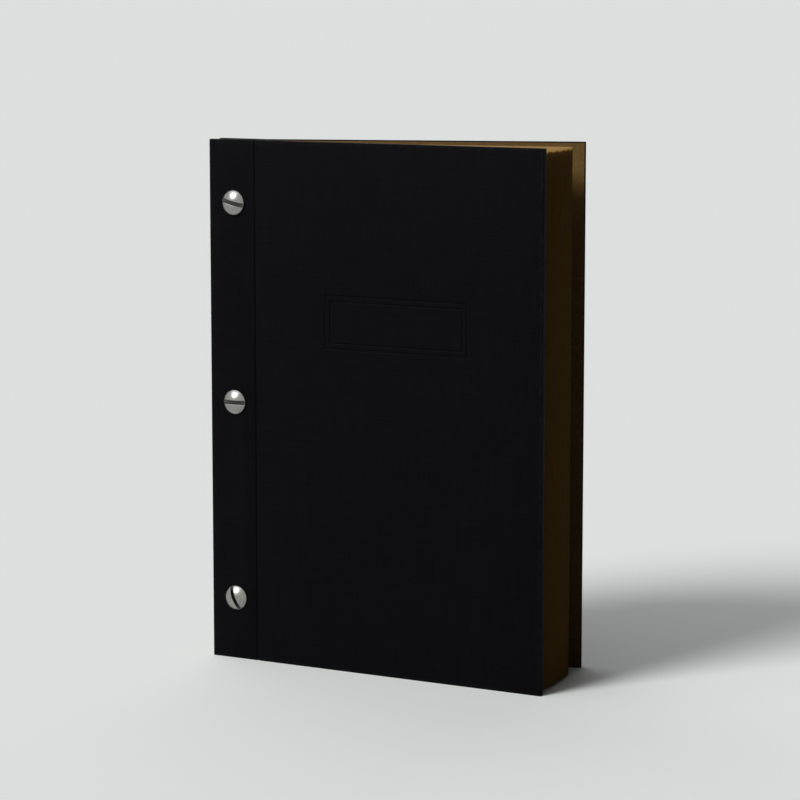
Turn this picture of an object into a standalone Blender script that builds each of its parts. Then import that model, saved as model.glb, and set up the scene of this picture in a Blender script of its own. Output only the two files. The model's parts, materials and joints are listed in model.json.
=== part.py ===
"""Post-bound notebook: two cloth covers, a fan of leaves and three screw posts.

The notebook stands on its tail edge. +Z runs from tail to head, +X from the spine to the fore-edge, and the front
cover faces -Y. The origin is the middle of the bounding box, at the tail. Sizes are in metres.
"""

import math

import bmesh
import bpy
from mathutils import Matrix, Vector

MM = 0.001

# Covers
COVER_WIDTH = 148.0 * MM
COVER_HEIGHT = 210.0 * MM
CREASE_FROM_SPINE = 21.0 * MM
CREASE_WIDTH = 0.6 * MM
BOARD_THICKNESS = 1.8 * MM
CLOTH_THICKNESS = 0.35 * MM
LINING_THICKNESS = 0.25 * MM
GLUE_GAP = 0.1 * MM
CLOTH_EDGE_RADIUS = 0.3 * MM
EDGE_SEGMENTS = 2
BACK_SPLAY = math.radians(20.0)

# Leaves
LEAF_COUNT = 36
LEAF_THICKNESS = 0.10 * MM
LEAF_GAP = 0.03 * MM
LEAF_HEAD_SQUARE = 1.2 * MM
LEAF_TAIL_SQUARE = 0.8 * MM
LEAF_FORE_SQUARE = 2.5 * MM
STACK_CLEARANCE = 0.15 * MM
LAST_LEAF_ANGLE = math.radians(13.2)
FAN_WAVE_ANGLE = math.radians(0.1)
FAN_WAVE_LEAVES = 7.0

# Screws and posts
POST_FROM_SPINE = 11.2 * MM
POST_PITCH = 80.0 * MM
HEAD_DIAMETER = 10.0 * MM
HEAD_RIM = 0.6 * MM
SCREW_DOME = 2.0 * MM
POST_DOME = 1.4 * MM
SLOT_WIDTH = 1.5 * MM
SLOT_DEPTH = 2.1 * MM
SLOT_TURNS = {
    "top": math.radians(14.0),
    "middle": math.radians(1.0),
    "bottom": math.radians(66.0),
}
BARREL_DIAMETER = 5.4 * MM
SHANK_DIAMETER = 3.4 * MM
SHANK_LENGTH = 7.5 * MM
SHANK_CLEARANCE = 0.3 * MM
BARREL_CLEARANCE = 0.3 * MM
HEAD_SEAT_GAP = 0.1 * MM
BORE_END_CLEARANCE = 0.5 * MM
ROUND_SEGMENTS = 32
DOME_STEPS = 5

# Sizes that follow from the ones above
COVER_THICKNESS = CLOTH_THICKNESS + BOARD_THICKNESS + LINING_THICKNESS + 2.0 * GLUE_GAP
LEAF_PITCH = LEAF_THICKNESS + LEAF_GAP
STACK_THICKNESS = LEAF_COUNT * LEAF_PITCH - LEAF_GAP
SPINE_THICKNESS = 2.0 * (COVER_THICKNESS + STACK_CLEARANCE) + STACK_THICKNESS
STRIP_WIDTH = CREASE_FROM_SPINE - 0.5 * CREASE_WIDTH
PANEL_START = 0.5 * CREASE_WIDTH
PANEL_END = COVER_WIDTH - CREASE_FROM_SPINE
LEAF_END = PANEL_END - LEAF_FORE_SQUARE
LEAF_HEIGHT = COVER_HEIGHT - LEAF_HEAD_SQUARE - LEAF_TAIL_SQUARE
SCREW_HEAD_HEIGHT = HEAD_RIM + SCREW_DOME
BORE_DIAMETER = SHANK_DIAMETER + 2.0 * SHANK_CLEARANCE
HOLE_DIAMETER = BARREL_DIAMETER + 2.0 * BARREL_CLEARANCE
BARREL_LENGTH = SPINE_THICKNESS - BARREL_CLEARANCE
BORE_DEPTH = SHANK_LENGTH + BORE_END_CLEARANCE
POST_HEIGHTS = {
    "top": 0.5 * COVER_HEIGHT + POST_PITCH,
    "middle": 0.5 * COVER_HEIGHT,
    "bottom": 0.5 * COVER_HEIGHT - POST_PITCH,
}

# Places in the frame: the front cover's outer face, the back strip's outer face and the hinge creases
FRONTMOST = SCREW_HEAD_HEIGHT + HEAD_SEAT_GAP
REARMOST = SPINE_THICKNESS + PANEL_END * math.sin(BACK_SPLAY)
FRONT_FACE_Y = 0.5 * (FRONTMOST - REARMOST)
BACK_FACE_Y = FRONT_FACE_Y + SPINE_THICKNESS
SPINE_X = -0.5 * COVER_WIDTH
CREASE_X = SPINE_X + CREASE_FROM_SPINE
POST_X = SPINE_X + POST_FROM_SPINE
CUT_MARGIN = 5.0 * MM

FINISHES = {
    "cloth": ((0.008, 0.008, 0.010), 0.75, 0.0),
    "board": ((0.33, 0.30, 0.26), 0.90, 0.0),
    "kraft": ((0.33, 0.20, 0.085), 0.80, 0.0),
    "nickel": ((0.62, 0.60, 0.57), 0.24, 1.0),
}


def clear_scene():
    """Remove the objects that a new file starts with."""
    for obj in list(bpy.data.objects):
        bpy.data.objects.remove(obj, do_unlink=True)


def make_finish(name):
    """A Principled material with one finish's colour, roughness and metallic value."""
    colour, roughness, metallic = FINISHES[name]
    material = bpy.data.materials.new(name)
    material.use_nodes = True
    shader = material.node_tree.nodes["Principled BSDF"]
    shader.inputs["Base Color"].default_value = (*colour, 1.0)
    shader.inputs["Roughness"].default_value = roughness
    shader.inputs["Metallic"].default_value = metallic
    return material


def add_object(name, mesh_builder, finish):
    """Turn a bmesh into a named object with its own copy of a finish."""
    mesh = bpy.data.meshes.new(name)
    mesh_builder.to_mesh(mesh)
    mesh_builder.free()
    mesh.materials.append(make_finish(finish))
    obj = bpy.data.objects.new(name, mesh)
    bpy.context.scene.collection.objects.link(obj)
    return obj


def box_between(low, high):
    """A bmesh box between two corners."""
    low = Vector(low)
    high = Vector(high)
    builder = bmesh.new()
    bmesh.ops.create_cube(builder, size=1.0)
    size = high - low
    bmesh.ops.scale(builder, vec=size, verts=builder.verts)
    bmesh.ops.translate(builder, vec=0.5 * (low + high), verts=builder.verts)
    return builder


def face_towards(builder, direction):
    """The face whose normal points along a direction."""
    return max(builder.faces, key=lambda face: face.normal.dot(direction))


def cloth_tray(low, high, inner_side):
    """Cloth over a board: the outer face and its four turned-in edges, open on the lining's side."""
    builder = box_between(low, high)
    builder.normal_update()
    inner_face = face_towards(builder, inner_side)
    inner_edges = set(inner_face.edges)
    outer_edges = [edge for edge in builder.edges if edge not in inner_edges]
    bmesh.ops.bevel(
        builder,
        geom=outer_edges,
        offset=CLOTH_EDGE_RADIUS,
        segments=EDGE_SEGMENTS,
        profile=0.5,
        affect="EDGES",
    )
    builder.normal_update()
    inner_face = face_towards(builder, inner_side)
    bmesh.ops.inset_region(builder, faces=[inner_face], thickness=CLOTH_THICKNESS, use_even_offset=True)
    pocket = bmesh.ops.extrude_face_region(builder, geom=[inner_face])
    moved = [item for item in pocket["geom"] if isinstance(item, bmesh.types.BMVert)]
    bmesh.ops.delete(builder, geom=[inner_face], context="FACES_ONLY")
    depth = COVER_THICKNESS - CLOTH_THICKNESS
    bmesh.ops.translate(builder, vec=-depth * Vector(inner_side), verts=moved)
    bmesh.ops.recalc_face_normals(builder, faces=builder.faces)
    return builder


def turned_piece(profile):
    """A closed body turned about the Y axis from (radius, y) points that start and end on the axis."""
    builder = bmesh.new()
    verts = [builder.verts.new((radius, along, 0.0)) for radius, along in profile]
    edges = [builder.edges.new(pair) for pair in zip(verts, verts[1:])]
    bmesh.ops.spin(
        builder,
        geom=verts + edges,
        cent=(0.0, 0.0, 0.0),
        axis=(0.0, 1.0, 0.0),
        angle=2.0 * math.pi,
        steps=ROUND_SEGMENTS,
        use_merge=True,
        use_duplicate=False,
    )
    bmesh.ops.remove_doubles(builder, verts=builder.verts, dist=0.001 * MM)
    bmesh.ops.recalc_face_normals(builder, faces=builder.faces)
    return builder


def dome_profile(dome_height):
    """(radius, height) points of a head's round top, from its rim to the crown."""
    rim_radius = 0.5 * HEAD_DIAMETER
    sphere_radius = (rim_radius ** 2 + dome_height ** 2) / (2.0 * dome_height)
    widest = math.asin(rim_radius / sphere_radius)
    points = []
    for step in range(DOME_STEPS + 1):
        angle = widest * (1.0 - step / DOME_STEPS)
        drop = sphere_radius * (1.0 - math.cos(angle))
        points.append((sphere_radius * math.sin(angle), HEAD_RIM + dome_height - drop))
    points[-1] = (0.0, HEAD_RIM + dome_height)
    return points


def shade_round(obj):
    """Shade a turned piece smooth, with its rims sharp."""
    obj.data.shade_smooth()
    obj.data.set_sharp_from_angle(angle=math.radians(40.0))


def cut_from(obj, cutter):
    """Subtract a hidden cutter from an object."""
    cut = obj.modifiers.new("cut", "BOOLEAN")
    cut.operation = "DIFFERENCE"
    cut.solver = "EXACT"
    cut.object = cutter


def hide_cutter(cutter):
    """Mark an object as a cutter that isn't a piece of the notebook."""
    cutter.hide_render = True
    cutter.display_type = "WIRE"


def add_hinge(name, x, y):
    """An empty on a crease's axis, which carries the pieces that turn about it."""
    hinge = bpy.data.objects.new(name, None)
    hinge.location = (x, y, 0.0)
    bpy.context.scene.collection.objects.link(hinge)
    return hinge


def cover_layers(side, stretch, start, end, outer_y, inward):
    """Cloth, board and lining of one stretch of a cover, between two distances along X."""
    inner_y = outer_y + inward * COVER_THICKNESS
    inner_side = Vector((0.0, inward, 0.0))
    cloth_low = (start, min(outer_y, inner_y), 0.0)
    cloth_high = (end, max(outer_y, inner_y), COVER_HEIGHT)
    cloth = add_object(f"{side}_{stretch}_cloth", cloth_tray(cloth_low, cloth_high, inner_side), "cloth")

    edge = CLOTH_THICKNESS + GLUE_GAP
    board_outer = outer_y + inward * edge
    board_inner = board_outer + inward * BOARD_THICKNESS
    lining_outer = board_inner + inward * GLUE_GAP
    layers = [cloth]
    for layer, first, second, finish in (
        ("board", board_outer, board_inner, "board"),
        ("lining", lining_outer, inner_y, "kraft"),
    ):
        low = (start + edge, min(first, second), edge)
        high = (end - edge, max(first, second), COVER_HEIGHT - edge)
        layers.append(add_object(f"{side}_{stretch}_{layer}", box_between(low, high), finish))
    return layers


def post_hole_cutter():
    """Three rods that cut the post holes through the strips and the leaf margins."""
    builder = bmesh.new()
    length = SPINE_THICKNESS + 2.0 * CUT_MARGIN
    for height in POST_HEIGHTS.values():
        place = Matrix.Translation((POST_X, 0.5 * (FRONT_FACE_Y + BACK_FACE_Y), height))
        bmesh.ops.create_cone(
            builder,
            cap_ends=True,
            segments=ROUND_SEGMENTS,
            radius1=0.5 * HOLE_DIAMETER,
            radius2=0.5 * HOLE_DIAMETER,
            depth=length,
            matrix=place @ Matrix.Rotation(math.radians(90.0), 4, "X"),
        )
    cutter = add_object("post_hole_cutter", builder, "nickel")
    hide_cutter(cutter)
    return cutter


def add_binding_strips(cutter):
    """The bound strips of both covers, punched for the posts."""
    for side, outer_y, inward in (("front", FRONT_FACE_Y, 1.0), ("back", BACK_FACE_Y, -1.0)):
        for layer in cover_layers(side, "strip", SPINE_X, SPINE_X + STRIP_WIDTH, outer_y, inward):
            cut_from(layer, cutter)


def add_cover_panel(side, hinge, inward, turn):
    """The opening panel of a cover, made about its hinge and turned to its rest angle."""
    for layer in cover_layers(side, "panel", PANEL_START, PANEL_END, 0.0, inward):
        layer.parent = hinge
        layer.rotation_euler.z = turn


def add_leaf_margins(cutter):
    """The punched margins of the leaves, clamped between the strips."""
    front = FRONT_FACE_Y + COVER_THICKNESS + STACK_CLEARANCE
    low = (SPINE_X, front, LEAF_TAIL_SQUARE)
    high = (SPINE_X + STRIP_WIDTH, front + STACK_THICKNESS, LEAF_TAIL_SQUARE + LEAF_HEIGHT)
    cut_from(add_object("leaf_margins", box_between(low, high), "kraft"), cutter)


def leaf_angle(index):
    """How far a leaf stands from the front cover: an even fan with a slight wave, as paper falls."""
    even = LAST_LEAF_ANGLE * (index + 1) / LEAF_COUNT
    wave = FAN_WAVE_ANGLE * math.sin(2.0 * math.pi * (LEAF_COUNT - 1 - index) / FAN_WAVE_LEAVES)
    return even + wave


def add_leaves(hinge):
    """The free part of each leaf, turned about the back crease so that the leaves fan out."""
    first = -SPINE_THICKNESS + COVER_THICKNESS + STACK_CLEARANCE
    for index in range(LEAF_COUNT):
        front = first + index * LEAF_PITCH
        low = (PANEL_START, front, LEAF_TAIL_SQUARE)
        high = (LEAF_END, front + LEAF_THICKNESS, LEAF_TAIL_SQUARE + LEAF_HEIGHT)
        leaf = add_object(f"leaf_{index + 1:02d}", box_between(low, high), "kraft")
        leaf.parent = hinge
        leaf.rotation_euler.z = leaf_angle(index)


def add_screw(name, height, slot_turn):
    """A domed screw whose shank runs into its post, with the slot turned as it was left."""
    shank_radius = 0.5 * SHANK_DIAMETER
    outline = [(0.0, -SHANK_LENGTH), (shank_radius, -SHANK_LENGTH), (shank_radius, 0.0), (0.5 * HEAD_DIAMETER, 0.0)]
    outline += dome_profile(SCREW_DOME)
    screw = add_object(name, turned_piece([(radius, -along) for radius, along in outline]), "nickel")

    half_width = 0.5 * SLOT_WIDTH
    floor = -SCREW_HEAD_HEIGHT + SLOT_DEPTH
    low = (-HEAD_DIAMETER, -SCREW_HEAD_HEIGHT - CUT_MARGIN, -half_width)
    high = (HEAD_DIAMETER, floor, half_width)
    cutter = add_object(f"{name}_slot_cutter", box_between(low, high), "nickel")
    hide_cutter(cutter)
    cutter.parent = screw
    cut_from(screw, cutter)

    screw.location = (POST_X, FRONT_FACE_Y - HEAD_SEAT_GAP, height)
    screw.rotation_euler.y = slot_turn
    shade_round(screw)


def add_post(name, height):
    """A binding post: a domed head at the back and a barrel with a blind bore for the screw."""
    barrel_radius = 0.5 * BARREL_DIAMETER
    bore_radius = 0.5 * BORE_DIAMETER
    bore_floor = BARREL_LENGTH - BORE_DEPTH
    outline = [
        (0.0, -bore_floor),
        (bore_radius, -bore_floor),
        (bore_radius, -BARREL_LENGTH),
        (barrel_radius, -BARREL_LENGTH),
        (barrel_radius, 0.0),
        (0.5 * HEAD_DIAMETER, 0.0),
    ]
    outline += dome_profile(POST_DOME)
    post = add_object(name, turned_piece(outline), "nickel")
    post.location = (POST_X, BACK_FACE_Y + HEAD_SEAT_GAP, height)
    shade_round(post)


def main():
    clear_scene()
    cutter = post_hole_cutter()
    add_binding_strips(cutter)
    add_leaf_margins(cutter)
    front_hinge = add_hinge("front_crease", CREASE_X, FRONT_FACE_Y)
    back_hinge = add_hinge("back_crease", CREASE_X, BACK_FACE_Y)
    add_cover_panel("front", front_hinge, 1.0, 0.0)
    add_cover_panel("back", back_hinge, -1.0, BACK_SPLAY)
    add_leaves(back_hinge)
    for position, height in POST_HEIGHTS.items():
        add_screw(f"screw_{position}", height, SLOT_TURNS[position])
        add_post(f"post_{position}", height)


main()
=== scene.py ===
"""A post-bound notebook, dressed: cloth covers, paper linings, a fan of kraft leaves, screws and posts."""

import json
import math

import bmesh
import bpy
from bpy.props import FloatProperty, FloatVectorProperty, IntProperty, PointerProperty
from bpy.types import Operator, Panel, PropertyGroup
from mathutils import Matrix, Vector

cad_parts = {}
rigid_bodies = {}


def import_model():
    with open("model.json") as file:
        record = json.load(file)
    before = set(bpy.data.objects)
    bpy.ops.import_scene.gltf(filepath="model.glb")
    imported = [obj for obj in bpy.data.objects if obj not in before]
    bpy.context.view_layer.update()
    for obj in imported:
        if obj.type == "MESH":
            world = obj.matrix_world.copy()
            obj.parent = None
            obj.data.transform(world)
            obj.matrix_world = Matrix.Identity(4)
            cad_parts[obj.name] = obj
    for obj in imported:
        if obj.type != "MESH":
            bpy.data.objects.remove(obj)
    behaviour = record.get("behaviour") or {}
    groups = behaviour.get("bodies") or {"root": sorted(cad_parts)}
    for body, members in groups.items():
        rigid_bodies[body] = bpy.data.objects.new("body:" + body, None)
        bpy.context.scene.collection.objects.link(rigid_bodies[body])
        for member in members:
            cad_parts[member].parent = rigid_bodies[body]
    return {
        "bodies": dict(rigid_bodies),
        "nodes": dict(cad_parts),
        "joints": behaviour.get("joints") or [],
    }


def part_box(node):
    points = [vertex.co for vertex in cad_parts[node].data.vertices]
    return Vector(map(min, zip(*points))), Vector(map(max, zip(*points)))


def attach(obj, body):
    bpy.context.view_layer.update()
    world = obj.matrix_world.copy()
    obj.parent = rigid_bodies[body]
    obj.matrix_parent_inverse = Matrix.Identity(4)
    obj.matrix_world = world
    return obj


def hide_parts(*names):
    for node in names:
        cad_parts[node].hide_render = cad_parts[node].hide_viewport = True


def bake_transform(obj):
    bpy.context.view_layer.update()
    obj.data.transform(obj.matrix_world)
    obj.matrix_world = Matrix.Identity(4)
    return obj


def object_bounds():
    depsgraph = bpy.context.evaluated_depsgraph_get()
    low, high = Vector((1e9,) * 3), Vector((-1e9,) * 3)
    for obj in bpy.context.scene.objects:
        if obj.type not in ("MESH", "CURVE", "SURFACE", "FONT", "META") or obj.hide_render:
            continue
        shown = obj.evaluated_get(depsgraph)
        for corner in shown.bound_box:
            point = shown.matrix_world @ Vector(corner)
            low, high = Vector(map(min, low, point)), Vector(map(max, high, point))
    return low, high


bl_info = {
    "name": "Post-bound notebook",
    "version": (1, 0, 0),
    "blender": (4, 5, 0),
    "location": "View3D > Sidebar > Notebook",
    "description": "Makes the covers, linings, leaves, screws and posts of a notebook on its packed frame",
    "category": "Object",
}

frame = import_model()
CAD_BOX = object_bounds()
JOINTS = {joint["name"]: joint for joint in frame["joints"]}
POSITIONS = ("top", "middle", "bottom")
LEAF_NODES = sorted(name for name in frame["bodies"] if name.startswith("leaf_"))
X_AXIS = Vector((1.0, 0.0, 0.0))
Z_AXIS = Vector((0.0, 0.0, 1.0))

# How shapes are selected, shaded and divided
NEAR = 1e-6
FACING = 0.9
SQUARE_ON = 0.99
SMOOTH_ANGLE = math.radians(35.0)
LEAF_SMOOTH_ANGLE = math.radians(50.0)
EDGE_ANGLE = math.radians(55.0)
CLOTH_EDGE_STEPS = 3
LINING_EDGE_STEPS = 2
HOLE_STEPS = 32
LIP_STEPS = 160
LIP_SIDES = 4
SLOPE_SHARE = 0.3
SEED_SIZE = 0.001

# From leaf to leaf: the step of the sine by which they stray, and of the paper's pattern in metres
STRAY_TURN = 2.4
LEAF_PATTERN_STEP = (0.37, 0.23)

# Patterns: features in a metre along each axis of a map, sizes and relief in metres, a wander in radians
THREAD = 0.00048
SLUB_ACROSS = (1900.0, 55.0, 1.0)
SLUB_ALONG = (55.0, 1900.0, 1.0)
SLUB_WANDER = 2.0
CLOTH_MOTTLE = (70.0, 70.0, 1.0)
CLOTH_CLOUD = (300.0, 300.0, 1.0)
RUBBED_WIDTH = 0.0022
CLOTH_RELIEF = 0.00006
KRAFT_PULP = (140.0, 140.0, 1.0)
KRAFT_FIBRE_UP = (2600.0, 330.0, 1.0)
KRAFT_FIBRE_ON = (330.0, 2600.0, 1.0)
KRAFT_SPECK = (1500.0, 1100.0, 1.0)
KRAFT_RELIEF = 0.00003
NICKEL_HAZE = (420.0, 420.0, 420.0)
NICKEL_HAIRLINE = (260.0, 15000.0, 1.0)
NICKEL_RELIEF = 0.00001
BOARD_PULP = (160.0, 900.0, 160.0)
BOARD_SPECK = (1200.0, 1200.0, 1200.0)
BOARD_RELIEF = 0.00004

# Roughness of the plating before its haze and hairlines
POLISH = 0.17
SLOT_POLISH = 0.38

# Stage
PHOTO_SIDE = 800
SENSOR_WIDTH = 36.0
CAMERA_NEAR = 0.01
CAMERA_FAR = 100.0
FLOOR_RADIUS = 40.0
FLOOR_STEPS = 96
FLOOR_BOUNCE = 0.10


def length(name, description, millimetres):
    """A size in metres, given in millimetres."""
    return FloatProperty(name=name, description=description, default=0.001 * millimetres, precision=5,
                         subtype="DISTANCE", unit="LENGTH")


def angle(name, description, degrees):
    """An angle in radians, given in degrees."""
    return FloatProperty(name=name, description=description, default=math.radians(degrees), subtype="ANGLE",
                         unit="ROTATION")


def count(name, description, number):
    """A number of facets or rings."""
    return IntProperty(name=name, description=description, default=number, min=3)


def power(name, description, value):
    """The strength of a light."""
    return FloatProperty(name=name, description=description, default=value, min=0.0)


def colour(name, description, red, green, blue):
    """A linear colour."""
    return FloatVectorProperty(name=name, description=description, default=(red, green, blue), size=3,
                               min=0.0, max=1.0, subtype="COLOR")


class NotebookSizes(PropertyGroup):
    """Sizes of the pieces that dress the frame"""

    cloth_thickness: length("Cloth", "Thickness of the cover cloth", 0.3)
    cloth_edge: length("Cloth edge", "Radius of the cloth where it turns round the board", 0.28)
    cloth_border: length("Turned-in border", "Cloth that shows round the lining on the inside", 0.36)
    crease_width: length("Crease width", "Width of the scored groove beside the binding", 1.4)
    crease_depth: length("Crease depth", "Depth of the scored groove beside the binding", 0.45)
    crease_steps: count("Crease steps", "Facets across the scored groove", 10)
    lining_gap: length("Lining gap", "Room between the lining's edge and the turned-in cloth", 0.05)
    lining_mark: length("Lining mark", "Depth of the crease that shows through the lining", 0.08)
    lining_edge: length("Lining edge", "Radius of the lining's cut edge", 0.04)
    panel_width: length("Frame width", "Width of the plain frame pressed into the front cover", 64.0)
    panel_height: length("Frame height", "Height of the plain frame pressed into the front cover", 22.0)
    panel_middle: length("Frame middle", "Height of the frame's middle above the tail", 139.5)
    panel_outer_line: length("Outer line", "Width of the frame's outer pressed line", 1.2)
    panel_line_gap: length("Line gap", "Plain cloth between the frame's two pressed lines", 1.2)
    panel_inner_line: length("Inner line", "Width of the frame's inner pressed line", 0.8)
    panel_depth: length("Pressed depth", "Depth of the pressed lines", 0.22)
    panel_slope: length("Pressed slope", "Width of the slope at the side of a pressed line", 0.25)
    post_hole: length("Post hole", "Diameter of the holes punched for the posts", 6.0)
    leaf_bend_before: length("Bend before", "How far before the crease a leaf starts to bend", 1.0)
    leaf_bend_after: length("Bend after", "How far past the crease a leaf is bent to its own angle", 6.0)
    leaf_bend_steps: count("Bend steps", "Facets across a leaf's bend", 8)
    leaf_stray: length("Leaf stray", "How far a leaf stands above or below its neighbours", 0.03)
    head_seat_gap: length("Seat gap", "Room under a screw or post head", 0.1)
    head_rim: length("Head rim", "Height of the straight rim of a screw or post head", 0.6)
    head_round: length("Head rounding", "Radius at the rim of a screw or post head", 0.25)
    head_crown_steps: count("Crown steps", "Rings in a domed head", 10)
    turning_steps: count("Turning steps", "Facets round a screw or post", 64)
    shank: length("Shank", "Diameter of a screw's shank", 3.4)
    shank_chamfer: length("Shank chamfer", "Chamfer at the end of a screw's shank", 0.4)
    barrel: length("Barrel", "Diameter of a post's barrel", 5.4)
    barrel_chamfer: length("Barrel chamfer", "Chamfer round the mouth of a post's barrel", 0.3)
    bore: length("Bore", "Diameter of the hole that takes the screw", 4.0)
    bore_depth: length("Bore depth", "Depth of the hole that takes the screw", 8.0)
    slot_width: length("Slot width", "Width of the screwdriver slot", 1.5)
    slot_depth: length("Slot depth", "Depth of the screwdriver slot under the crown", 2.1)
    slot_lip: length("Slot lip", "Chamfer along each side of the screwdriver slot", 0.24)
    slot_turns: FloatVectorProperty(
        name="Slot turns", description="How each slot was left, from top to bottom",
        default=(math.radians(14.0), math.radians(1.0), math.radians(66.0)), size=3,
        subtype="EULER", unit="ROTATION")


class NotebookColours(PropertyGroup):
    """Colours of the pieces and of the floor"""

    cloth: colour("Cloth", "Black bookcloth", 0.0037, 0.0036, 0.0045)
    cloth_rubbed: colour("Rubbed cloth", "Bookcloth that hands have rubbed", 0.014, 0.0135, 0.014)
    leaf: colour("Leaf paper", "Kraft paper of the leaves", 0.44, 0.26, 0.075)
    # Paler head and tail faces of the leaves: fresh-cut paper, and on the head also a painted highlight of
    # the light from above
    leaf_end_highlight: colour("Leaf trim", "Freshly cut head and tail edges of the leaves", 0.68, 0.54, 0.38)
    lining: colour("Lining paper", "Kraft paper of the linings", 0.188, 0.112, 0.039)
    kraft_fibre: colour("Kraft fibre", "Pale fibres in the kraft paper", 0.52, 0.36, 0.19)
    kraft_fleck: colour("Kraft fleck", "Dark flecks in the kraft paper", 0.13, 0.065, 0.022)
    nickel: colour("Nickel", "Plated screws and posts", 0.345, 0.338, 0.322)
    # Dark plating in the screw slots is painted shade in the hollow of each slot
    slot_nickel: colour("Slot nickel", "Plating in the screw slots, dulled by dirt", 0.085, 0.082, 0.078)
    board: colour("Board", "Grey board inside the covers", 0.30, 0.275, 0.235)
    floor: colour("Floor", "Pale studio floor", 0.88, 0.905, 0.89)


class NotebookStudio(PropertyGroup):
    """The camera's place, and the lights"""

    yaw: angle("Yaw", "How far round to the fore-edge the camera stands", 28.75)
    pitch: angle("Pitch", "How far above the horizon the camera stands", 8.05)
    distance: length("Distance", "From the camera to the point that it looks at", 1140.2)
    focal_pixels: FloatProperty(
        name="Focal length", description="Focal length in pixels of the square picture",
        default=2933.0, subtype="PIXEL")
    aim_x: length("Aim across", "The point that the camera looks at, across the cover", 12.64)
    aim_z: length("Aim up", "The point that the camera looks at, above the tail", 110.9)
    fill: power("Fill", "Strength of the light from all round", 0.035)
    key: power("Key", "Strength of the main light from the front", 2.35)
    key_turn: angle("Key turn", "How far to the spine side the main light stands", 23.0)
    key_height: angle("Key height", "How far above the horizon the main light stands", 38.0)
    key_width: angle("Key width", "Width of the main light as it is seen from the object", 22.0)
    softbox: power("Softbox", "Strength of the wide light overhead", 0.6)
    softbox_turn: angle("Softbox turn", "How far to the spine side the softbox stands", 38.0)
    softbox_height: angle("Softbox height", "How far above the horizon the softbox stands", 62.0)
    softbox_width: angle("Softbox width", "Width of the softbox as it is seen from the object", 58.0)
    back: power("Back light", "Strength of the wide light behind the spine", 0.75)
    back_turn: angle("Back light turn", "How far to the spine side the back light stands", 140.0)
    back_height: angle("Back light height", "How far above the horizon the back light stands", 40.0)
    back_width: angle("Back light width", "Width of the back light as it is seen from the object", 60.0)


class Signal:
    """A shader socket that takes part in arithmetic."""

    def __init__(self, nodes, socket):
        self.nodes = nodes
        self.socket = socket

    def sibling(self, output):
        """Another output of the same node."""
        return Signal(self.nodes, self.socket.node.outputs[output])

    def maths(self, operation, *values):
        return self.nodes.node("ShaderNodeMath", {"operation": operation}, dict(enumerate(values)))

    def __add__(self, other):
        return self.maths("ADD", self, other)

    def __radd__(self, other):
        return self.maths("ADD", other, self)

    def __sub__(self, other):
        return self.maths("SUBTRACT", self, other)

    def __rsub__(self, other):
        return self.maths("SUBTRACT", other, self)

    def __mul__(self, other):
        return self.maths("MULTIPLY", self, other)

    def __abs__(self):
        return self.maths("ABSOLUTE", self)

    def sine(self):
        return self.maths("SINE", self)

    def least(self, other):
        return self.maths("MINIMUM", self, other)

    def step(self, low, high):
        """0 below low and 1 above high, smooth between them."""
        return self.nodes.node("ShaderNodeMapRange", {"interpolation_type": "SMOOTHSTEP"},
                               {"Value": self, "From Min": low, "From Max": high})


class Nodes:
    """A node tree that is built from expressions."""

    def __init__(self, tree):
        self.tree = tree

    def node(self, kind, settings=None, sockets=None, output=0):
        """Add a node, set it up, fill or link its inputs, and return one of its outputs."""
        made = self.tree.nodes.new(kind)
        for name, value in (settings or {}).items():
            setattr(made, name, value)
        self.fill(made, sockets or {})
        return Signal(self, made.outputs[output])

    def fill(self, made, sockets):
        """Set or link inputs of a node."""
        for name, value in sockets.items():
            if isinstance(value, Signal):
                self.tree.links.new(value.socket, made.inputs[name])
            else:
                made.inputs[name].default_value = value

    def mix(self, factor, first, second):
        """One colour over another."""
        first, second = (value if isinstance(value, Signal) else (*value, 1.0) for value in (first, second))
        return self.node("ShaderNodeMix", {"data_type": "RGBA"}, {0: factor, 6: first, 7: second}, 2)

    def noise(self, place, stretch, detail=2.0, roughness=0.5):
        """Noise on a place in metres, with a number of features in a metre along each axis."""
        scaled = self.node("ShaderNodeVectorMath", {"operation": "MULTIPLY"}, {0: place, 1: stretch})
        return self.node("ShaderNodeTexNoise", {}, {"Vector": scaled, "Scale": 1.0, "Detail": detail,
                                                    "Roughness": roughness})

    def bump(self, height, distance, strength=1.0):
        """A surface normal from a height."""
        sockets = {"Height": height, "Distance": distance, "Strength": strength}
        return self.node("ShaderNodeBump", {}, sockets)

    def pale_rays(self):
        """1 for the rays that see the pale background: the camera's, off metal and through glass."""
        camera = self.node("ShaderNodeLightPath", output="Is Camera Ray")
        return camera + camera.sibling("Is Glossy Ray") + camera.sibling("Is Transmission Ray")


class Finish(Nodes):
    """A material and the nodes that make it."""

    def __init__(self, name):
        self.material = bpy.data.materials.new(name)
        self.material.use_nodes = True
        super().__init__(self.material.node_tree)
        self.shader = self.tree.nodes["Principled BSDF"]


class Backdrop(Nodes):
    """A world and the nodes that make it."""

    def __init__(self, name):
        self.world = bpy.data.worlds.new(name)
        self.world.use_nodes = True
        super().__init__(self.world.node_tree)
        self.tree.nodes.remove(self.tree.nodes["Background"])
        self.output = self.tree.nodes["World Output"]


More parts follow.
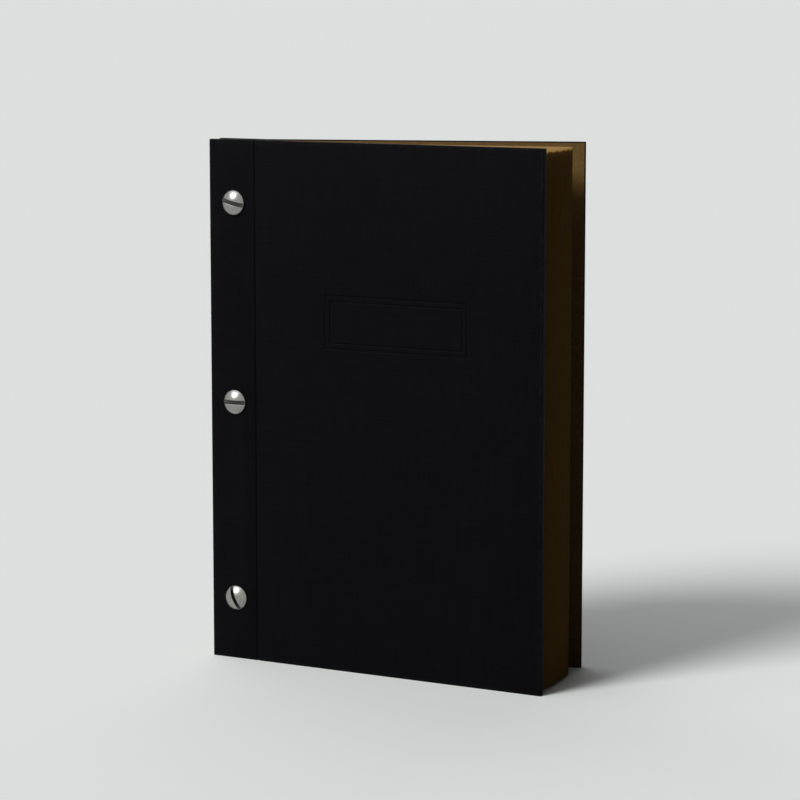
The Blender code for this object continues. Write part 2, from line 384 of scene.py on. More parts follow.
def cloth_finish(colours, cover_size):
    """Black bookcloth: a plain weave of uneven threads, a soft mottle and rubbed edges, on the flat map."""
    finish = Finish("bookcloth")
    flat = finish.node("ShaderNodeTexCoord", output="UV")
    across = finish.node("ShaderNodeSeparateXYZ", sockets={0: flat}, output="X")
    along = across.sibling("Y")
    slub_across = finish.noise(flat, SLUB_ACROSS)
    slub_along = finish.noise(flat, SLUB_ALONG)
    warp = (across * (math.pi / THREAD) + slub_along * SLUB_WANDER).sine()
    weft = (along * (math.pi / THREAD) + slub_across * SLUB_WANDER).sine()
    over = warp * weft * 0.5 + 0.5
    weave = over * abs(warp) + (1.0 - over) * abs(weft)
    mottle = finish.noise(flat, CLOTH_MOTTLE, 4.0, 0.6)
    cloud = finish.noise(flat, CLOTH_CLOUD, 3.0)
    threads = slub_across + slub_along - 0.5
    edge = across.least(cover_size[0] - across).least(along).least(cover_size[1] - along)
    rubbed = (1.0 - edge.step(0.0, RUBBED_WIDTH)) * cloud.step(0.35, 0.75)
    tone = (threads * 0.5 + mottle * 0.35 + weave * 0.3 - 0.12).step(0.0, 1.0)
    dark = tuple(0.45 * value for value in colours.cloth)
    light = tuple(1.75 * value for value in colours.cloth)
    base = finish.mix(rubbed * 0.55, finish.mix(tone, dark, light), tuple(colours.cloth_rubbed))
    height = weave + threads * 0.7 + cloud * 0.25
    finish.fill(finish.shader, {
        "Base Color": base,
        "Roughness": 0.58 + mottle * 0.2 - weave * 0.06,
        "Normal": finish.bump(height, CLOTH_RELIEF, 0.75),
        "Specular IOR Level": 0.03,
        "Sheen Weight": 0.006,
        "Sheen Roughness": 0.45,
    })
    return finish.material


def kraft_finish(name, colours, plain):
    """Kraft paper: cloudy pulp, long pale fibres and small dark flecks, on the flat map."""
    finish = Finish(name)
    flat = finish.node("ShaderNodeTexCoord", output="UV")
    pulp = finish.noise(flat, KRAFT_PULP, 5.0, 0.65)
    fibre_up = finish.noise(flat, KRAFT_FIBRE_UP, 2.0)
    fibre_on = finish.noise(flat, KRAFT_FIBRE_ON, 2.0)
    speck = finish.noise(flat, KRAFT_SPECK, 1.0)
    pale = fibre_up.step(0.58, 0.74) + fibre_on.step(0.60, 0.76)
    dark = speck.step(0.66, 0.74)
    deep = tuple(0.88 * value for value in plain)
    base = finish.mix(pulp.step(0.25, 0.75), deep, tuple(plain))
    base = finish.mix(pale * 0.30, base, tuple(colours.kraft_fibre))
    base = finish.mix(dark * 0.55, base, tuple(colours.kraft_fleck))
    height = fibre_up + fibre_on + pulp * 0.6
    finish.fill(finish.shader, {
        "Base Color": base,
        "Roughness": 0.74 + pulp * 0.16,
        "Normal": finish.bump(height, KRAFT_RELIEF, 0.6),
        "Specular IOR Level": 0.04,
    })
    return finish.material


def nickel_finish(name, plain, polish):
    """Plated steel: a soft polish with the hairlines of its turning, on the turned map, and a faint haze."""
    finish = Finish(name)
    place = finish.node("ShaderNodeTexCoord", output="Object")
    around = place.sibling("UV")
    haze = finish.noise(place, NICKEL_HAZE, 3.0)
    hairline = finish.noise(around, NICKEL_HAIRLINE, 2.0)
    worn = tuple(0.86 * value for value in plain)
    finish.fill(finish.shader, {
        "Base Color": finish.mix(haze.step(0.3, 0.75), tuple(plain), worn),
        "Roughness": polish + haze * 0.12 + hairline * 0.08,
        "Metallic": 1.0,
        "Normal": finish.bump(hairline + haze, NICKEL_RELIEF, 0.35),
    })
    return finish.material


def board_finish(colours):
    """Grey board: pressed pulp with specks of waste paper."""
    finish = Finish("grey_board")
    place = finish.node("ShaderNodeTexCoord", output="Object")
    pulp = finish.noise(place, BOARD_PULP, 4.0, 0.6)
    speck = finish.noise(place, BOARD_SPECK, 1.0)
    plain = tuple(colours.board)
    deep = tuple(0.7 * value for value in plain)
    base = finish.mix(pulp.step(0.3, 0.7), deep, plain)
    base = finish.mix(speck.step(0.62, 0.74) * 0.6, base, tuple(0.35 * value for value in plain))
    finish.fill(finish.shader, {
        "Base Color": base,
        "Roughness": 0.86 + pulp * 0.1,
        "Normal": finish.bump(pulp + speck * 0.4, BOARD_RELIEF, 0.6),
        "Specular IOR Level": 0.25,
    })
    return finish.material


def new_block(name, low, high):
    """A block between two corners, with its place in its mesh."""
    low = Vector(low)
    high = Vector(high)
    bpy.ops.object.select_all(action="DESELECT")
    bpy.ops.mesh.primitive_cube_add(size=1.0, location=0.5 * (low + high), scale=high - low)
    bpy.ops.object.transform_apply(location=True, rotation=True, scale=True)
    piece = bpy.context.object
    piece.name = name
    piece.data.name = name
    return piece


def edit(piece):
    """Open one piece in edit mode."""
    bpy.ops.object.select_all(action="DESELECT")
    bpy.context.view_layer.objects.active = piece
    piece.select_set(True)
    bpy.ops.object.mode_set(mode="EDIT")


def leave():
    """Back to object mode."""
    bpy.ops.object.mode_set(mode="OBJECT")


def choose(piece, kind, test):
    """Select the vertices, edges or faces that pass a test."""
    bpy.ops.mesh.select_mode(type=kind)
    bpy.ops.mesh.select_all(action="DESELECT")
    mesh = bmesh.from_edit_mesh(piece.data)
    for item in {"VERT": mesh.verts, "EDGE": mesh.edges, "FACE": mesh.faces}[kind]:
        item.select_set(test(item))
    mesh.select_flush_mode()
    bmesh.update_edit_mesh(piece.data)


def cut_across(piece, places, axis, test=lambda face: True):
    """Cut the faces that pass a test at places along an axis."""
    for place in places:
        choose(piece, "FACE", test)
        bpy.ops.mesh.bisect(plane_co=place * axis, plane_no=axis)


def apply_modifier(piece, kind, **settings):
    """Add a modifier and apply it."""
    bpy.ops.object.select_all(action="DESELECT")
    bpy.context.view_layer.objects.active = piece
    piece.select_set(True)
    modifier = piece.modifiers.new(kind.lower(), kind)
    for name, value in settings.items():
        setattr(modifier, name, value)
    bpy.ops.object.modifier_apply(modifier=modifier.name)


def tidy(piece):
    """Merge doubled vertices and turn the faces outwards."""
    edit(piece)
    bpy.ops.mesh.select_all(action="SELECT")
    bpy.ops.mesh.remove_doubles(threshold=NEAR)
    bpy.ops.mesh.normals_make_consistent(inside=False)
    leave()


def discard(piece):
    """Remove a cutter once it has cut."""
    bpy.ops.object.select_all(action="DESELECT")
    piece.select_set(True)
    bpy.ops.object.delete()


def volume_of(piece):
    """Volume of a closed piece."""
    mesh = bmesh.new()
    mesh.from_mesh(piece.data)
    volume = mesh.calc_volume(signed=True)
    mesh.free()
    return volume


def subtract(piece, cutter):
    """Cut one piece with another, which is then discarded."""
    before = volume_of(piece)
    apply_modifier(piece, "BOOLEAN", operation="DIFFERENCE", solver="EXACT", object=cutter)
    discard(cutter)
    if not 0.0 < volume_of(piece) < before:
        raise RuntimeError(f"{piece.name} was not cut")


def lay_flat_map(piece):
    """Map the piece in metres as it lies flat, so that a pattern bends with it."""
    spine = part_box("front_strip_cloth")[0].x
    layer = piece.data.uv_layers.active
    for polygon in piece.data.polygons:
        round_side = abs(polygon.normal.x) > abs(polygon.normal.y)
        round_end = abs(polygon.normal.z) > abs(polygon.normal.y)
        for corner in polygon.loop_indices:
            place = piece.data.vertices[piece.data.loops[corner].vertex_index].co
            across = place.x - spine + (place.y if round_side else 0.0)
            along = place.z + (place.y if round_end else 0.0)
            layer.data[corner].uv = (across, along)


def turn_share(place, start, end):
    """How much of a crease's turn a place takes, from 0 at start to 1 at end."""
    share = min(max((place - start) / (end - start), 0.0), 1.0)
    return share * share * (3.0 - 2.0 * share)


def bend_at_crease(piece, hinge, turn, start, end):
    """Turn a flat piece about a crease, from nothing at start to the whole turn at end."""
    columns = {}
    for vertex in piece.data.vertices:
        columns.setdefault(round(turn_share(vertex.co.x, start, end), 6), []).append(vertex.index)
    edit(piece)
    for share, members in columns.items():
        if share > 0.0:
            wanted = set(members)
            choose(piece, "VERT", lambda vertex: vertex.index in wanted)
            bpy.ops.transform.rotate(value=-share * turn, orient_axis="Z",
                                     center_override=(hinge[0], hinge[1], 0.0))
    leave()


def shade(piece, limit=SMOOTH_ANGLE):
    """Smooth shading, with sharp edges kept."""
    bpy.ops.object.select_all(action="DESELECT")
    bpy.context.view_layer.objects.active = piece
    piece.select_set(True)
    bpy.ops.object.shade_smooth_by_angle(angle=limit)


def paint(piece, *materials):
    """Give a piece its materials, of which its faces all have the first."""
    piece.data.materials.clear()
    for material in materials:
        piece.data.materials.append(material)


def second_finish(piece, test):
    """Give the faces that pass a test the second material of their piece."""
    edit(piece)
    choose(piece, "FACE", test)
    piece.active_material_index = 1
    bpy.ops.object.material_slot_assign()
    leave()


def post_places():
    """The middle of each post, across and up."""
    return {position: 0.5 * sum(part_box(f"post_{position}"), Vector()) for position in POSITIONS}


def punch_posts(piece, diameter):
    """Punch the three post holes through a piece."""
    low, high = CAD_BOX
    for place in post_places().values():
        bpy.ops.object.select_all(action="DESELECT")
        bpy.ops.mesh.primitive_cylinder_add(
            vertices=HOLE_STEPS, radius=0.5 * diameter, depth=2.0 * (high.y - low.y), location=place,
            rotation=(math.radians(90.0), 0.0, 0.0))
        subtract(piece, bpy.context.object)


class Cover:
    """Where a cover lies when it is closed, and how it turns."""

    def __init__(self, side):
        self.side = side
        strip_low, strip_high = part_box(f"{side}_strip_cloth")
        self.low = Vector(strip_low)
        self.high = Vector((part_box("front_panel_cloth")[1].x, strip_high.y, strip_high.z))
        self.inward = 1.0 if side == "front" else -1.0
        self.outer_y = self.low.y if side == "front" else self.high.y
        self.inner_y = self.high.y if side == "front" else self.low.y
        joint = JOINTS[f"{side}_cover_open"]
        self.hinge = joint["pos_m"]
        self.rest_turn = -math.radians(joint["range_deg"][0])
        self.bodies = ("binding", f"{side}_cover")

    def crease_span(self, sizes):
        """Where the crease starts and ends, across the cover."""
        half = 0.5 * sizes.crease_width
        return self.hinge[0] - half, self.hinge[0] + half


def press_crease(piece, cover, face_y, inward, width, depth, steps):
    """Cut a piece at the crease and press a round groove into one of its faces."""
    places = [width * (step / steps - 0.5) for step in range(steps + 1)]
    crease = cover.hinge[0]
    cut_across(piece, [crease + place for place in places], X_AXIS)
    for place in places[1:-1]:
        sunk = 0.5 * depth * (1.0 + math.cos(2.0 * math.pi * place / width))
        choose(piece, "VERT", lambda vertex: abs(vertex.co.x - crease - place) < NEAR
               and abs(vertex.co.y - face_y) < NEAR)
        bpy.ops.transform.translate(value=(0.0, inward * sunk, 0.0))


def press_frame(piece, cover, sizes):
    """Press a plain double-lined frame into the front cover's panel."""
    middle = (0.5 * (cover.hinge[0] + cover.high.x), sizes.panel_middle)
    half = (0.5 * sizes.panel_width, 0.5 * sizes.panel_height)
    inner_line = sizes.panel_outer_line + sizes.panel_line_gap
    lines = ((0.0, sizes.panel_outer_line), (inner_line, inner_line + sizes.panel_inner_line))
    edges = [edge for line in lines for edge in line]
    panel_start = cover.hinge[0] + sizes.crease_width

    def on_panel(face):
        return face.normal.y * cover.inward < -FACING and face.calc_center_median().x > panel_start

    for axis, place, reach in ((X_AXIS, middle[0], half[0]), (Z_AXIS, middle[1], half[1])):
        cuts = [place + side * (reach - edge) for side in (-1.0, 1.0) for edge in edges]
        cut_across(piece, cuts, axis, on_panel)
    for outer, inner in lines:
        def in_line(face):
            centre = face.calc_center_median()
            inset = min(half[0] - abs(centre.x - middle[0]), half[1] - abs(centre.z - middle[1]))
            return on_panel(face) and outer < inset < inner
        choose(piece, "FACE", in_line)
        slope = min(sizes.panel_slope, SLOPE_SHARE * (inner - outer))
        bpy.ops.mesh.inset(thickness=slope, depth=-sizes.panel_depth, use_even_offset=True)


def bend_cover_piece(piece, cover, sizes):
    """Map a flat piece of a cover, then turn it at the crease as far as the cover stands open at rest."""
    lay_flat_map(piece)
    if cover.rest_turn > NEAR:
        bend_at_crease(piece, cover.hinge, cover.rest_turn, *cover.crease_span(sizes))


def bind_cover_piece(piece, cover, sizes, material):
    """Punch a piece of a cover for the posts and finish it."""
    punch_posts(piece, sizes.post_hole)
    shade(piece)
    paint(piece, material)
    start, end = cover.crease_span(sizes)
    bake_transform(piece)


def make_cover_cloth(side, sizes, material):
    """The cloth of one cover, in one piece over strip, crease and panel, turned in round the edges."""
    cover = Cover(side)
    piece = new_block(f"{side}_cover_cloth", cover.low, cover.high)
    edit(piece)
    press_crease(piece, cover, cover.outer_y, cover.inward, sizes.crease_width, sizes.crease_depth,
                 sizes.crease_steps)
    if side == "front":
        press_frame(piece, cover, sizes)
    choose(piece, "FACE", lambda face: face.normal.y * cover.inward > FACING
           and abs(face.calc_center_median().y - cover.inner_y) < NEAR)
    bpy.ops.mesh.inset(thickness=sizes.cloth_border, depth=0.0, use_even_offset=True)
    bpy.ops.mesh.delete(type="FACE")
    leave()
    bend_cover_piece(piece, cover, sizes)
    apply_modifier(piece, "BEVEL", width=sizes.cloth_edge, segments=CLOTH_EDGE_STEPS, limit_method="ANGLE",
                   angle_limit=EDGE_ANGLE)
    apply_modifier(piece, "SOLIDIFY", thickness=sizes.cloth_thickness, offset=-1.0, use_even_offset=True)
    bind_cover_piece(piece, cover, sizes, material)
    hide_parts(f"{side}_strip_cloth", f"{side}_panel_cloth")


def make_lining(side, sizes, material):
    """The paper pasted inside one cover, over strip, crease and panel."""
    cover = Cover(side)
    inset = sizes.cloth_border + sizes.lining_gap
    strip_low, strip_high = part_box(f"{side}_strip_lining")
    low = (cover.low.x + inset, strip_low.y, cover.low.z + inset)
    high = (cover.high.x - inset, strip_high.y, cover.high.z - inset)
    piece = new_block(f"{side}_cover_lining", low, high)
    edit(piece)
    press_crease(piece, cover, cover.inner_y, -cover.inward, sizes.crease_width, sizes.lining_mark,
                 sizes.crease_steps)
    leave()
    bend_cover_piece(piece, cover, sizes)
    apply_modifier(piece, "BEVEL", width=sizes.lining_edge, segments=LINING_EDGE_STEPS, limit_method="ANGLE",
                   angle_limit=EDGE_ANGLE)
    bind_cover_piece(piece, cover, sizes, material)
    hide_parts(f"{side}_strip_lining", f"{side}_panel_lining")


def rest_turn_of(leaf):
    """How far a leaf is turned at rest."""
    return -math.radians(JOINTS[f"{leaf}_turn"]["range_deg"][0])


def leaf_bend(sizes):
    """Where a leaf's bend starts and ends, across the leaf."""
    crease = JOINTS["back_cover_open"]["pos_m"][0]
    return crease - sizes.leaf_bend_before, crease + sizes.leaf_bend_after


def leaf_thickness():
    """Thickness of a leaf, from the frame's first leaf, which lies nearly square to Y."""
    low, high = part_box(LEAF_NODES[0])
    turn = rest_turn_of(LEAF_NODES[0])
    return ((high.y - low.y) - (high.x - low.x) * math.tan(turn)) * math.cos(turn)


def make_flat_leaf(sizes, paper, end_highlight):
    """One punched leaf, flat, with its front face at y 0, and its head and tail faces paler, as fresh-cut
    paper and as a painted highlight of the light from above.
    """
    margin_low, margin_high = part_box("leaf_margins")
    crease = JOINTS["back_cover_open"]["pos_m"][0]
    reach = (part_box(LEAF_NODES[0])[1].x - crease) / math.cos(rest_turn_of(LEAF_NODES[0]))
    low = (margin_low.x, 0.0, margin_low.z)
    high = (crease + reach, leaf_thickness(), margin_high.z)
    piece = new_block("flat_leaf", low, high)
    start, end = leaf_bend(sizes)
    steps = sizes.leaf_bend_steps
    edit(piece)
    cut_across(piece, [start + (end - start) * step / steps for step in range(steps + 1)], X_AXIS)
    leave()
    punch_posts(piece, sizes.post_hole)
    lay_flat_map(piece)
    paint(piece, paper, end_highlight)
    # The faces that look up or down take the paler paper, which paints in the light from above on the head
    second_finish(piece, lambda face: abs(face.normal.z) > FACING)
    return piece


def copy_of(piece, name):
    """A copy with its own mesh."""
    bpy.ops.object.select_all(action="DESELECT")
    bpy.context.view_layer.objects.active = piece
    piece.select_set(True)
    bpy.ops.object.duplicate(linked=False)
    copied = bpy.context.object
    copied.name = name
    copied.data.name = name
    return copied


def shift(piece, offset):
    """Move a piece's mesh."""
    edit(piece)
    bpy.ops.mesh.select_all(action="SELECT")
    bpy.ops.transform.translate(value=offset)
    leave()


def make_leaves(sizes, paper, end_highlight):
    """Every leaf from the spine to the fore-edge, bent at the crease to its own angle."""
    if len(LEAF_NODES) < 2:
        raise RuntimeError("the frame has no block of leaves")
    flat = make_flat_leaf(sizes, paper, end_highlight)
    margin_low, margin_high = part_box("leaf_margins")
    hinge = JOINTS["back_cover_open"]["pos_m"]
    start, end = leaf_bend(sizes)
    pitch = (margin_high.y - margin_low.y - leaf_thickness()) / (len(LEAF_NODES) - 1)
    for index, node in enumerate(LEAF_NODES):
        piece = copy_of(flat, f"{node}_paper")
        stray = sizes.leaf_stray * math.sin(STRAY_TURN * index)
        shift(piece, (0.0, margin_low.y + index * pitch, stray))
        for corner in piece.data.uv_layers.active.data:
            corner.uv += index * Vector(LEAF_PATTERN_STEP)
        bend_at_crease(piece, hinge, rest_turn_of(node), start, end)
        shade(piece, LEAF_SMOOTH_ANGLE)
        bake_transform(piece)
        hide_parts(node)
        if index == 0:
            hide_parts("leaf_margins")
    discard(flat)


def lay_turned_map(piece):
    """Map a turned piece in metres: round the Y axis, and from the axis outwards and along."""
    layer = piece.data.uv_layers.active or piece.data.uv_layers.new()
    around = max(vertex.co.x for vertex in piece.data.vertices)
    for loop in piece.data.loops:
        place = piece.data.vertices[loop.vertex_index].co
        outwards = math.hypot(place.x, place.z)
        layer.data[loop.index].uv = (around * math.atan2(place.z, place.x), outwards + place.y)


def turned(name, profile, steps):
    """A piece turned about the Y axis from (radius, y) points that start and end on the axis."""
    bpy.ops.object.select_all(action="DESELECT")
    bpy.ops.mesh.primitive_plane_add(size=SEED_SIZE, location=(profile[0][0], profile[0][1], 0.0))
    bpy.ops.object.transform_apply(location=True, rotation=True, scale=True)
    piece = bpy.context.object
    piece.name = name
    piece.data.name = name
    edit(piece)
    bpy.ops.mesh.select_mode(type="VERT")
    bpy.ops.mesh.select_all(action="SELECT")
    bpy.ops.mesh.merge(type="CENTER")
    for before, after in zip(profile, profile[1:]):
        step = (after[0] - before[0], after[1] - before[1], 0.0)
        bpy.ops.mesh.extrude_region_move(TRANSFORM_OT_translate={"value": step})
    leave()
    apply_modifier(piece, "SCREW", axis="Y", angle=2.0 * math.pi, steps=steps, use_merge_vertices=True,
                   merge_threshold=NEAR)
    tidy(piece)
    if volume_of(piece) <= 0.0:
        raise RuntimeError(f"{name} was not turned")
    lay_turned_map(piece)
    return piece


def dome_sphere(radius, dome):
    """Radius of the sphere that a dome of a radius and a height is cut from."""
    return (radius ** 2 + dome ** 2) / (2.0 * dome)


def crown_points(radius, dome, sizes):
    """(radius, height) points of a domed head, from the crown to the foot of its rim."""
    sphere = dome_sphere(radius, dome)
    widest = math.asin(radius / sphere)
    rim = sizes.head_rim
    soft = sizes.head_round
    points = []
    for step in range(sizes.head_crown_steps):
        slant = widest * step / sizes.head_crown_steps
        points.append((sphere * math.sin(slant), rim + dome - sphere * (1.0 - math.cos(slant))))
    # In shares of the rounding: from the rim's circle outwards, and from its top or foot upwards
    over_rim = ((-1.0, 0.75 * math.tan(widest)), (-0.25, -0.05), (0.0, -0.7))
    under_rim = ((0.0, 0.4), (-0.4, 0.0))
    points += [(radius + soft * across, rim + soft * up) for across, up in over_rim]
    points += [(radius + soft * across, soft * up) for across, up in under_rim]
    return points


def cut_slot(piece, head, crown, dome, sizes):
    """Cut a slot across a domed head that stands on the Y axis, with a chamfer along both of its lips."""
    half = 0.5 * sizes.slot_width
    low = (-2.0 * head, -2.0 * crown, -half)
    high = (2.0 * head, sizes.slot_depth - crown, half)
    subtract(piece, new_block("slot", low, high))
    sphere = dome_sphere(head, dome)
    for side in (-half, half):
        bpy.ops.object.select_all(action="DESELECT")
        bpy.ops.mesh.primitive_torus_add(
            location=(0.0, sphere - crown, side), major_segments=LIP_STEPS, minor_segments=LIP_SIDES,
            major_radius=math.sqrt(sphere ** 2 - half ** 2), minor_radius=sizes.slot_lip)
        subtract(piece, bpy.context.object)


def make_screws(sizes, nickel, slot_nickel):
    """Three domed screws: one is turned and slotted, then copied and left at its own angle."""
    low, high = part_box("screw_middle")
    head = 0.5 * (high.z - low.z)
    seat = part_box("front_strip_cloth")[0].y - sizes.head_seat_gap
    crown = seat - low.y
    dome = crown - sizes.head_rim
    shank = 0.5 * sizes.shank
    foot = high.y - seat
    outline = [(radius, -height) for radius, height in crown_points(head, dome, sizes)]
    chamfer = sizes.shank_chamfer
    outline += [(shank, 0.0), (shank, foot - chamfer), (shank - chamfer, foot), (0.0, foot)]
    plain = turned("plain_screw", outline, sizes.turning_steps)
    cut_slot(plain, head, crown, dome, sizes)
    tidy(plain)
    paint(plain, nickel, slot_nickel)
    slot_floor = sizes.slot_depth - crown
    # The slot's floor and walls take the dark plating, which paints in the shade of the slot
    second_finish(plain, lambda face: abs(face.calc_center_median().z) < sizes.slot_width and (
        abs(face.normal.z) > SQUARE_ON or abs(face.calc_center_median().y - slot_floor) < NEAR))
    for position, turn in zip(POSITIONS, sizes.slot_turns):
        box_low, box_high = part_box(f"screw_{position}")
        place = 0.5 * (box_low + box_high)
        piece = copy_of(plain, f"slotted_screw_{position}")
        edit(piece)
        bpy.ops.mesh.select_all(action="SELECT")
        bpy.ops.transform.rotate(value=-turn, orient_axis="Y", center_override=(0.0, 0.0, 0.0))
        bpy.ops.transform.translate(value=(place.x, seat, place.z))
        leave()
        shade(piece)
        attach(piece, f"screw_{position}")
        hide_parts(f"screw_{position}")
    discard(plain)


def make_posts(sizes, material):
    """Three binding posts: a domed head at the back and a barrel with a blind bore."""
    low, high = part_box("post_middle")
    head = 0.5 * (high.z - low.z)
    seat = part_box("back_strip_cloth")[1].y + sizes.head_seat_gap
    dome = high.y - seat - sizes.head_rim
    barrel = 0.5 * sizes.barrel
    bore = 0.5 * sizes.bore
    mouth = low.y - seat
    bore_floor = mouth + sizes.bore_depth
    chamfer = sizes.barrel_chamfer
    outline = crown_points(head, dome, sizes)
    outline += [(barrel, 0.0), (barrel, mouth + chamfer), (barrel - chamfer, mouth), (bore, mouth),
                (bore, bore_floor), (0.0, bore_floor)]
    plain = turned("plain_post", outline, sizes.turning_steps)
    for position, place in post_places().items():
        piece = copy_of(plain, f"binding_post_{position}")
        shift(piece, (place.x, seat, place.z))
        shade(piece)
        paint(piece, material)
        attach(piece, "binding")
        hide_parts(f"post_{position}")
    discard(plain)


class NOTEBOOK_OT_cover_cloth(Operator):
    """Cover both boards with black cloth, creased beside the binding"""

    bl_idname = "notebook.cover_cloth"
    bl_label = "Cover cloth"

    def execute(self, context):
        low, high = Cover("front").low, Cover("front").high
        material = cloth_finish(context.scene.notebook_colours, (high.x - low.x, high.z - low.z))
        for side in ("front", "back"):
            make_cover_cloth(side, context.scene.notebook_sizes, material)
        return {"FINISHED"}


class NOTEBOOK_OT_linings(Operator):
    """Paste a paper lining inside each cover"""

    bl_idname = "notebook.linings"
    bl_label = "Linings"

    def execute(self, context):
        colours = context.scene.notebook_colours
        material = kraft_finish("kraft_lining", colours, colours.lining)
        for side in ("front", "back"):
            make_lining(side, context.scene.notebook_sizes, material)
        return {"FINISHED"}


class NOTEBOOK_OT_boards(Operator):
    """Finish the boards inside the covers"""

    bl_idname = "notebook.boards"
    bl_label = "Boards"

    def execute(self, context):
        material = board_finish(context.scene.notebook_colours)
        for side in ("front", "back"):
            for stretch in ("strip", "panel"):
                paint(frame["nodes"][f"{side}_{stretch}_board"], material)
        return {"FINISHED"}


class NOTEBOOK_OT_leaves(Operator):
    """Make the kraft leaves, punched for the posts and fanned between the covers"""

    bl_idname = "notebook.leaves"
    bl_label = "Leaves"

    def execute(self, context):
        colours = context.scene.notebook_colours
        paper = kraft_finish("kraft_leaf", colours, colours.leaf)
        # The paler end paper is partly a painted highlight on the leaves' head
        end_highlight = kraft_finish("kraft_trim", colours, colours.leaf_end_highlight)
        make_leaves(context.scene.notebook_sizes, paper, end_highlight)
        return {"FINISHED"}


class NOTEBOOK_OT_screws(Operator):
    """Make the slotted screws at the front"""

    bl_idname = "notebook.screws"
    bl_label = "Screws"

    def execute(self, context):
        colours = context.scene.notebook_colours
        nickel = nickel_finish("screw_nickel", colours.nickel, POLISH)
        # The slots' plating is painted dark to stand for their shade
        slot_nickel = nickel_finish("slot_nickel", colours.slot_nickel, SLOT_POLISH)
        make_screws(context.scene.notebook_sizes, nickel, slot_nickel)
        return {"FINISHED"}


class NOTEBOOK_OT_posts(Operator):
    """Make the posts that the screws turn into, with their heads at the back"""

    bl_idname = "notebook.posts"
    bl_label = "Posts"

    def execute(self, context):
        nickel = nickel_finish("post_nickel", context.scene.notebook_colours.nickel, POLISH)
        make_posts(context.scene.notebook_sizes, nickel)
        return {"FINISHED"}


class NOTEBOOK_OT_stage(Operator):
    """Set up the floor, the soft light and the camera"""

    bl_idname = "notebook.stage"
    bl_label = "Stage"

    def execute(self, context):
        studio = context.scene.notebook_studio
        make_floor(context.scene.notebook_colours)
        make_light(context.scene, studio, context.scene.notebook_colours)
        make_camera(context.scene, studio)
        context.scene.view_settings.view_transform = "Standard"
        return {"FINISHED"}


def make_floor(colours):
    """A wide pale floor, which throws little light back onto the object."""
    bpy.ops.object.select_all(action="DESELECT")
    bpy.ops.mesh.primitive_circle_add(vertices=FLOOR_STEPS, radius=FLOOR_RADIUS, fill_type="NGON")
    floor = bpy.context.object
    floor.name = "studio_floor"
    finish = Finish("studio_floor")
    thrown = tuple(FLOOR_BOUNCE * value for value in colours.floor)
    finish.fill(finish.shader, {
        "Base Color": finish.mix(finish.pale_rays(), thrown, tuple(colours.floor)),
        "Roughness": 1.0,
        "Specular IOR Level": 0.0,
    })
    paint(floor, finish.material)


def add_light(name, strength, turn, height, width):
    """A far light, turned from the front to the spine side and raised, of a width as the object sees it."""
    beam = Vector((math.sin(turn) * math.cos(height), math.cos(turn) * math.cos(height), -math.sin(height)))
    bpy.ops.object.light_add(type="SUN", location=-beam)
    light = bpy.context.object
    light.name = name
    light.rotation_mode = "QUATERNION"
    light.rotation_quaternion = beam.to_track_quat("-Z", "Y")
    light.data.energy = strength
    light.data.angle = width


def make_light(scene, studio, colours):
    """A main light from the front, a wide one above it, a wide one behind the spine and an even fill."""
    on_floor = studio.fill
    for name in ("key", "softbox", "back"):
        height = getattr(studio, f"{name}_height")
        strength = getattr(studio, name)
        add_light(f"{name}_light", strength, getattr(studio, f"{name}_turn"), height,
                  getattr(studio, f"{name}_width"))
        on_floor += strength * math.sin(height) / math.pi
    backdrop = Backdrop("studio")
    white = (1.0, 1.0, 1.0, 1.0)
    even = backdrop.node("ShaderNodeBackground", {}, {"Color": white, "Strength": studio.fill})
    pale = backdrop.node("ShaderNodeBackground", {}, {"Color": (*colours.floor, 1.0), "Strength": on_floor})
    light = backdrop.node("ShaderNodeMixShader", {}, {0: backdrop.pale_rays(), 1: even, 2: pale})
    backdrop.fill(backdrop.output, {"Surface": light})
    scene.world = backdrop.world


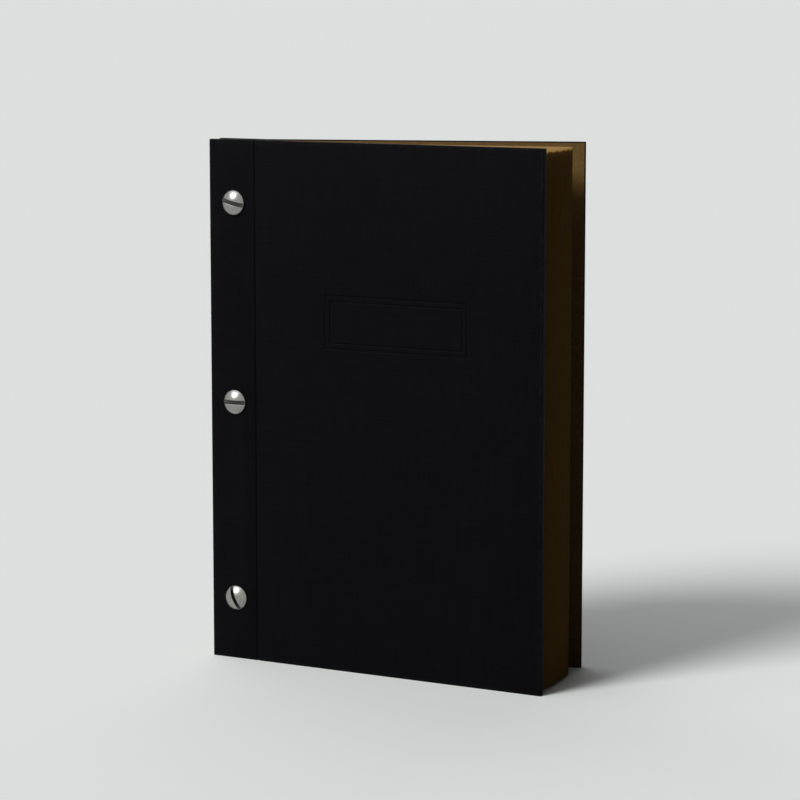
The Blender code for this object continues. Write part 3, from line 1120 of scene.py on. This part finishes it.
def make_camera(scene, studio):
    """The camera at the photograph's angle."""
    aim = Vector((studio.aim_x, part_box("front_strip_cloth")[0].y, studio.aim_z))
    level = math.cos(studio.pitch)
    back = Vector((math.sin(studio.yaw) * level, -math.cos(studio.yaw) * level, math.sin(studio.pitch)))
    bpy.ops.object.camera_add(location=aim + studio.distance * back)
    camera = bpy.context.object
    camera.name = "camera"
    camera.rotation_mode = "QUATERNION"
    camera.rotation_quaternion = (-back).to_track_quat("-Z", "Y")
    camera.data.sensor_width = SENSOR_WIDTH
    camera.data.lens = SENSOR_WIDTH * studio.focal_pixels / PHOTO_SIDE
    camera.data.clip_start = CAMERA_NEAR
    camera.data.clip_end = CAMERA_FAR
    scene.camera = camera


STEPS = (
    NOTEBOOK_OT_cover_cloth,
    NOTEBOOK_OT_linings,
    NOTEBOOK_OT_boards,
    NOTEBOOK_OT_leaves,
    NOTEBOOK_OT_screws,
    NOTEBOOK_OT_posts,
    NOTEBOOK_OT_stage,
)


class VIEW3D_PT_notebook(Panel):
    bl_label = "Notebook"
    bl_space_type = "VIEW_3D"
    bl_region_type = "UI"
    bl_category = "Notebook"

    def draw(self, context):
        for step in STEPS:
            self.layout.operator(step.bl_idname)
        scene = context.scene
        for group in (scene.notebook_sizes, scene.notebook_colours, scene.notebook_studio):
            box = self.layout.box()
            for name in group.__annotations__:
                box.prop(group, name)


CLASSES = (NotebookSizes, NotebookColours, NotebookStudio, *STEPS, VIEW3D_PT_notebook)


def register():
    for cls in CLASSES:
        bpy.utils.register_class(cls)
    bpy.types.Scene.notebook_sizes = PointerProperty(type=NotebookSizes)
    bpy.types.Scene.notebook_colours = PointerProperty(type=NotebookColours)
    bpy.types.Scene.notebook_studio = PointerProperty(type=NotebookStudio)


def unregister():
    del bpy.types.Scene.notebook_sizes
    del bpy.types.Scene.notebook_colours
    del bpy.types.Scene.notebook_studio
    for cls in reversed(CLASSES):
        bpy.utils.unregister_class(cls)


def main():
    register()
    for step in STEPS:
        group, name = step.bl_idname.split(".")
        if getattr(getattr(bpy.ops, group), name)() != {"FINISHED"}:
            raise RuntimeError(f"{step.bl_label} did not finish")


if __name__ == "__main__":
    main()
